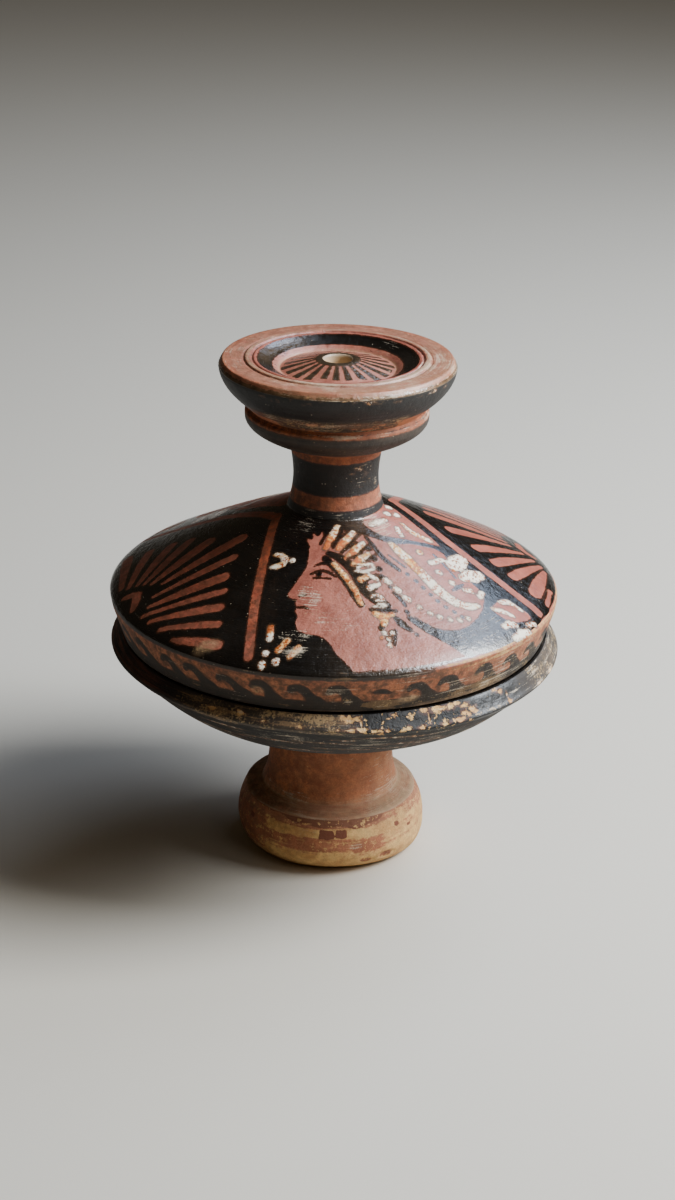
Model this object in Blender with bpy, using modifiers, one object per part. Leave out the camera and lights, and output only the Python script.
"""A footed pyxis of wheel-thrown, painted clay: a bowl on a stem and a lid that lifts off by its knob.

Two fired pieces stand on one axis. The bowl has its stem and foot in one, a sloping flange that the lid
rests on, and an upright lip inside the flange that keeps the lid centred. The lid has a short side wall,
a low dome, a neck and a dished knob with a vent bored down into the hollow.
Units are metres, +Z is up, and the origin is the middle of the foot's underside.
"""

import math

import bpy
from mathutils import Vector

# Foot and stem
FOOT_BASE_RADIUS = 0.0218
FOOT_FLARE = 0.0044
FOOT_WIDEST_HEIGHT = 0.0068
FOOT_HEIGHT = 0.0166
FOOT_LEDGE_SET_IN = 0.0028
FOOT_LEDGE_RISE = 0.0019
FOOT_CHAMFER = 0.0006
STEM_RADIUS = 0.0169
STEM_FLARE = 0.0019
STEM_LENGTH = 0.0195

# Hollow under the foot
FOOT_RING_WIDTH = 0.0052
RECESS_TAPER = 0.0070
RECESS_DEPTH = 0.0170

# Bowl, from the top of the stem to the underside of the flange
BOWL_RISE = 0.0216
BOWL_WALL = 0.0045
BOWL_FLOOR_THICKNESS = 0.0055

# Flange, and the lip that centres the lid
FLANGE_WIDTH = 0.0038
FLANGE_EDGE_HEIGHT = 0.0026
FLANGE_UNDERCUT = 0.0029
FLANGE_SLOPE_DROP = 0.0026
LIP_THICKNESS = 0.0030
LIP_HEIGHT = 0.0046

# How the lid sits on the bowl
SEAT_GAP = 0.0003
LID_PLAY = 0.0006

# Lid
LID_RADIUS = 0.0600
LID_SIDE_BATTER = 0.0032
LID_SIDE_HEIGHT = 0.0108
LID_FOOT_WIDTH = 0.0034
LID_WALL = 0.0042
DOME_RISE = 0.0238
DOME_BULGE = 0.0019
DOME_SHOULDER = 0.0044

# Neck
NECK_RADIUS = 0.0113
NECK_BASE_FLARE = 0.0013
NECK_TOP_FLARE = 0.0007
NECK_LENGTH = 0.0152

# Knob: a ring moulding under a dished disc
DISC_RADIUS = 0.0310
DISC_HEIGHT = 0.0127
DISC_OVERHANG = 0.0081
DISC_BEVEL = 0.0010
DISC_BEVEL_HEIGHT = 0.0017
RING_PROUD = 0.0012
RING_HEIGHT = 0.0121
RING_FLAT = 0.0017
DISC_RIM_WIDTH = 0.0055
FILLET_RING_WIDTH = 0.0024
FILLET_RING_HEIGHT = 0.0003
DISH_SET_IN = 0.0011
DISH_WALL_WIDTH = 0.0041
DISH_DEPTH = 0.0015
DISH_CROWN = 0.0011

# Vent through the knob and the neck
VENT_RADIUS = 0.0035
VENT_ROUNDING = 0.0005

# Facets round the axis, and the distance within which points join
SEGMENTS = 52
MERGE_DISTANCE = 0.00001

# Colours as fired
BLACK_GLOSS = (0.020, 0.018, 0.016, 1.0)
RED_CLAY = (0.420, 0.150, 0.075, 1.0)

# Radii that follow from the sizes above
FOOT_WIDEST_RADIUS = FOOT_BASE_RADIUS + FOOT_FLARE
FOOT_LEDGE_RADIUS = FOOT_WIDEST_RADIUS - FOOT_LEDGE_SET_IN
STEM_BASE_RADIUS = STEM_RADIUS + STEM_FLARE
RECESS_RADIUS = FOOT_BASE_RADIUS - FOOT_RING_WIDTH
RECESS_TOP_RADIUS = RECESS_RADIUS - RECESS_TAPER
LID_BOTTOM_RADIUS = LID_RADIUS - LID_SIDE_BATTER
LID_BOTTOM_INNER = LID_BOTTOM_RADIUS - LID_FOOT_WIDTH
LIP_RADIUS = LID_BOTTOM_INNER - LID_PLAY
LIP_INNER = LIP_RADIUS - LIP_THICKNESS
FLANGE_RADIUS = LID_BOTTOM_RADIUS + FLANGE_WIDTH
NECK_BASE_RADIUS = NECK_RADIUS + NECK_BASE_FLARE
NECK_TOP_RADIUS = NECK_RADIUS + NECK_TOP_FLARE
NOTCH_RADIUS = DISC_RADIUS - DISC_OVERHANG
RING_RADIUS = NOTCH_RADIUS + RING_PROUD
DISC_TOP_RADIUS = DISC_RADIUS - DISC_BEVEL
FILLET_RING_RADIUS = DISC_TOP_RADIUS - DISC_RIM_WIDTH
FILLET_RING_INNER = FILLET_RING_RADIUS - FILLET_RING_WIDTH
DISH_RADIUS = FILLET_RING_INNER - DISH_SET_IN
DISH_FLOOR_RADIUS = DISH_RADIUS - DISH_WALL_WIDTH

# Heights of the joins, each standing on the one below it
STEM_BASE_Z = FOOT_HEIGHT + FOOT_LEDGE_RISE
STEM_TOP_Z = STEM_BASE_Z + STEM_LENGTH
FLANGE_UNDER_Z = STEM_TOP_Z + BOWL_RISE
FLANGE_EDGE_Z = FLANGE_UNDER_Z + FLANGE_EDGE_HEIGHT
SEAT_Z = FLANGE_EDGE_Z + FLANGE_SLOPE_DROP
LIP_TOP_Z = SEAT_Z + LIP_HEIGHT
LID_BOTTOM_Z = SEAT_Z + SEAT_GAP
LID_EDGE_Z = LID_BOTTOM_Z + LID_SIDE_HEIGHT
DOME_TOP_Z = LID_EDGE_Z + DOME_RISE
NECK_TOP_Z = DOME_TOP_Z + NECK_LENGTH
NOTCH_Z = NECK_TOP_Z + RING_HEIGHT
DISC_TOP_Z = NOTCH_Z + DISC_HEIGHT
DISH_FLOOR_Z = DISC_TOP_Z - DISH_DEPTH


def bezier(start, start_pull, end_pull, end, count):
    """Points on a cubic curve, both ends included."""
    a, b, c, d = (Vector(p) for p in (start, start_pull, end_pull, end))
    points = []
    for i in range(count):
        t = i / (count - 1)
        s = 1 - t
        points.append(tuple(a * s**3 + b * 3 * s * s * t + c * 3 * s * t * t + d * t**3))
    return points


def arc(centre, radii, start, end, count):
    """Points on part of an ellipse, angles in degrees from +R towards +Z, both ends included."""
    points = []
    for i in range(count):
        angle = math.radians(start + (end - start) * i / (count - 1))
        points.append((centre[0] + radii[0] * math.cos(angle), centre[1] + radii[1] * math.sin(angle)))
    return points


def inset(points, distance):
    """The points moved square to their line, to its left, by a wall's thickness."""
    moved = []
    for i, point in enumerate(points):
        before = Vector(points[max(i - 1, 0)])
        after = Vector(points[min(i + 1, len(points) - 1)])
        along = (after - before).normalized()
        moved.append((point[0] - along[1] * distance, point[1] + along[0] * distance))
    return moved


def bowl_outside():
    """The bowl's outer curve, from the top of the stem out and up to the flange."""
    start = (STEM_RADIUS, STEM_TOP_Z)
    end = (FLANGE_RADIUS - FLANGE_UNDERCUT, FLANGE_UNDER_Z)
    reach = end[0] - start[0]
    return bezier(start, (start[0] + reach * 0.40, start[1] + BOWL_RISE * 0.07),
                  (end[0] - reach * 0.25, end[1] - BOWL_RISE * 0.55), end, 8)


def bowl_inside():
    """The bowl's inner curve, from the axis out and up to the top of the lip."""
    floor = STEM_TOP_Z + BOWL_FLOOR_THICKNESS
    widest = LIP_INNER - LIP_THICKNESS / 2
    wall = [p for p in inset(bowl_outside(), BOWL_WALL) if p[1] > floor and p[0] < widest]
    return [
        (0.0, floor),
        (wall[0][0] * 0.55, floor),
        *wall,
        (LIP_INNER, FLANGE_EDGE_Z),
        (LIP_INNER, LIP_TOP_Z - LIP_THICKNESS / 2),
    ]


def flange_and_lip():
    """The round top of the lip, the seat, the sloping flange and its edge, down to the bowl's underside."""
    half = LIP_THICKNESS / 2
    lip_top = arc((LIP_RADIUS - half, LIP_TOP_Z - half), (half, half), 180, 0, 4)
    lower_edge = (FLANGE_RADIUS - FLANGE_UNDERCUT * 0.5, FLANGE_UNDER_Z + FLANGE_EDGE_HEIGHT * 0.2)
    return lip_top[1:] + [
        (LIP_RADIUS, SEAT_Z),
        (LID_BOTTOM_RADIUS + LID_PLAY, SEAT_Z),
        (FLANGE_RADIUS - FLANGE_EDGE_HEIGHT * 0.15, FLANGE_EDGE_Z),
        (FLANGE_RADIUS, FLANGE_EDGE_Z - FLANGE_EDGE_HEIGHT * 0.25),
        lower_edge,
    ]


def stem_and_foot():
    """The outer side of the stem, the ledge on the foot and the foot's swelling side."""
    stem = bezier((STEM_RADIUS, STEM_TOP_Z - STEM_LENGTH * 0.15),
                  (STEM_RADIUS, STEM_TOP_Z - STEM_LENGTH * 0.6),
                  (STEM_RADIUS, STEM_BASE_Z + STEM_LENGTH * 0.2), (STEM_BASE_RADIUS, STEM_BASE_Z), 5)
    side = FOOT_HEIGHT - FOOT_WIDEST_HEIGHT
    shoulder = bezier((FOOT_LEDGE_RADIUS, FOOT_HEIGHT),
                      (FOOT_LEDGE_RADIUS + FOOT_LEDGE_SET_IN * 0.35, FOOT_HEIGHT - side * 0.2),
                      (FOOT_WIDEST_RADIUS, FOOT_WIDEST_HEIGHT + side * 0.5),
                      (FOOT_WIDEST_RADIUS, FOOT_WIDEST_HEIGHT), 5)
    toe = bezier((FOOT_WIDEST_RADIUS, FOOT_WIDEST_HEIGHT), (FOOT_WIDEST_RADIUS, FOOT_WIDEST_HEIGHT * 0.45),
                 (FOOT_WIDEST_RADIUS - FOOT_FLARE * 0.45, FOOT_WIDEST_HEIGHT * 0.2),
                 (FOOT_BASE_RADIUS + FOOT_CHAMFER, FOOT_CHAMFER), 4)
    return stem + shoulder + toe[1:]


def bowl_profile():
    """The bowl's whole section, from the axis inside, over the lip, down the outside and under the foot."""
    under = [
        (FOOT_BASE_RADIUS, 0.0),
        (RECESS_RADIUS, 0.0),
        (RECESS_TOP_RADIUS, RECESS_DEPTH * 0.86),
        (RECESS_TOP_RADIUS * 0.6, RECESS_DEPTH),
        (0.0, RECESS_DEPTH),
    ]
    return bowl_inside() + flange_and_lip() + list(reversed(bowl_outside())) + stem_and_foot() + under


def dome_outside():
    """The lid's outer curve, from the neck out and down to the edge: a low cone with a round shoulder."""
    top = Vector((NECK_BASE_RADIUS, DOME_TOP_Z))
    edge = Vector((LID_RADIUS, LID_EDGE_Z))
    shoulder = edge + Vector((-DOME_SHOULDER * 0.9, DOME_SHOULDER * 0.78))
    points = []
    steps = 7
    for i in range(steps):
        t = i / (steps - 1)
        lift = DOME_BULGE * (math.sin(math.pi * t) * 0.3 - (1 - t) ** 6 * 0.3)
        points.append(tuple(top.lerp(shoulder, t) + Vector((0, lift))))
    rounded = bezier(points[-1], shoulder.lerp(edge, 0.5) + Vector((0, DOME_SHOULDER * 0.12)),
                     edge + Vector((-DOME_SHOULDER * 0.04, DOME_SHOULDER * 0.2)), edge, 4)
    return points + rounded[1:]


def knob_top():
    """The top of the knob, from the vent out over the dish and the fillet ring to the disc's edge."""
    dish = bezier((DISH_FLOOR_RADIUS, DISH_FLOOR_Z),
                  (DISH_FLOOR_RADIUS + DISH_WALL_WIDTH * 0.7, DISH_FLOOR_Z),
                  (DISH_RADIUS, DISC_TOP_Z - DISH_DEPTH * 0.6), (DISH_RADIUS, DISC_TOP_Z), 4)
    return [
        (VENT_RADIUS, DISH_FLOOR_Z + DISH_CROWN - VENT_ROUNDING),
        (VENT_RADIUS + VENT_ROUNDING, DISH_FLOOR_Z + DISH_CROWN),
        ((VENT_RADIUS + DISH_FLOOR_RADIUS) / 2, DISH_FLOOR_Z + DISH_CROWN * 0.62),
        *dish,
        (FILLET_RING_INNER, DISC_TOP_Z + FILLET_RING_HEIGHT),
        (FILLET_RING_RADIUS - FILLET_RING_WIDTH * 0.25, DISC_TOP_Z + FILLET_RING_HEIGHT),
        (FILLET_RING_RADIUS, DISC_TOP_Z),
        (DISC_TOP_RADIUS, DISC_TOP_Z),
        (DISC_RADIUS, DISC_TOP_Z - DISC_BEVEL_HEIGHT),
    ]


def knob_side():
    """The knob's outer side, from the disc's widest place down to the neck."""
    widest = DISC_TOP_Z - DISC_BEVEL_HEIGHT
    disc = bezier((DISC_RADIUS, widest), (DISC_RADIUS - DISC_OVERHANG * 0.05, widest - DISC_HEIGHT * 0.40),
                  (NOTCH_RADIUS + DISC_OVERHANG * 0.4, NOTCH_Z + DISC_HEIGHT * 0.24),
                  (NOTCH_RADIUS, NOTCH_Z), 5)
    ring_top = NOTCH_Z - RING_PROUD
    ring_low = ring_top - RING_FLAT
    overhang = RING_RADIUS - NECK_TOP_RADIUS
    rounded = bezier((RING_RADIUS, ring_low), (RING_RADIUS - overhang * 0.02, ring_low - RING_HEIGHT * 0.22),
                     (RING_RADIUS - overhang * 0.4, NECK_TOP_Z + RING_HEIGHT * 0.36),
                     (NECK_TOP_RADIUS, NECK_TOP_Z + RING_HEIGHT * 0.12), 5)
    return disc[1:] + [(RING_RADIUS, ring_top)] + rounded


def neck_side():
    """The neck's outer side, waisted, from the knob down to the dome."""
    waist = NECK_RADIUS - NECK_TOP_FLARE / 2
    return bezier((NECK_TOP_RADIUS, NECK_TOP_Z), (waist, NECK_TOP_Z - NECK_LENGTH * 0.4),
                  (waist, DOME_TOP_Z + NECK_LENGTH * 0.4), (NECK_BASE_RADIUS, DOME_TOP_Z), 5)


def lid_inside():
    """The lid's hollow, from its foot up the side wall and in under the dome to the vent."""
    wall_top = LID_RADIUS - LID_WALL
    wall_top_z = LID_EDGE_Z - LID_WALL * 0.5
    vault = [
        p for p in inset(list(reversed(dome_outside())), LID_WALL)
        if VENT_RADIUS * 2 < p[0] < wall_top and p[1] > wall_top_z
    ]
    ceiling = vault[-1][1] + LID_WALL * 0.2
    return [
        (LID_BOTTOM_INNER, LID_BOTTOM_Z),
        (LID_BOTTOM_INNER, LID_BOTTOM_Z + LIP_HEIGHT),
        (wall_top, wall_top_z),
        *vault,
        (VENT_RADIUS * 2, ceiling),
        (VENT_RADIUS, ceiling + VENT_ROUNDING),
    ]


def lid_profile():
    """The lid's whole section, a closed line: knob top, outer side, side wall, hollow and vent."""
    side = [
        (LID_RADIUS - LID_SIDE_BATTER * 0.12, LID_EDGE_Z - LID_SIDE_HEIGHT * 0.2),
        (LID_BOTTOM_RADIUS, LID_BOTTOM_Z),
    ]
    return knob_top() + knob_side() + neck_side() + dome_outside()[1:] + side + lid_inside()


def clay_material(name, colour, roughness):
    """A Principled material with a plain colour."""
    material = bpy.data.materials.new(name)
    material.use_nodes = True
    shader = material.node_tree.nodes["Principled BSDF"]
    shader.inputs["Base Color"].default_value = colour
    shader.inputs["Roughness"].default_value = roughness
    shader.inputs["Metallic"].default_value = 0.0
    material.diffuse_color = colour
    return material


def turned_piece(name, section, closed, material, collection):
    """A profile in the XZ plane, turned about Z by a Screw modifier."""
    edges = [(i, i + 1) for i in range(len(section) - 1)]
    if closed:
        edges.append((len(section) - 1, 0))
    mesh = bpy.data.meshes.new(name)
    mesh.from_pydata([(r, 0.0, z) for r, z in section], edges, [])
    mesh.materials.append(material)
    piece = bpy.data.objects.new(name, mesh)
    collection.objects.link(piece)
    screw = piece.modifiers.new("turned", "SCREW")
    screw.axis = "Z"
    screw.angle = math.tau
    screw.steps = SEGMENTS
    screw.render_steps = SEGMENTS
    screw.use_merge_vertices = True
    screw.merge_threshold = MERGE_DISTANCE
    screw.use_smooth_shade = True
    return piece


def main():
    """Clears the file, then builds the bowl and the lid."""
    for leftover in list(bpy.data.objects):
        bpy.data.objects.remove(leftover, do_unlink=True)
    collection = bpy.data.collections.new("pyxis")
    bpy.context.scene.collection.children.link(collection)
    bowl_clay = clay_material("bowl_clay", RED_CLAY, 0.65)
    lid_clay = clay_material("lid_clay", BLACK_GLOSS, 0.38)
    turned_piece("bowl", bowl_profile(), False, bowl_clay, collection)
    turned_piece("lid", lid_profile(), True, lid_clay, collection)


main()
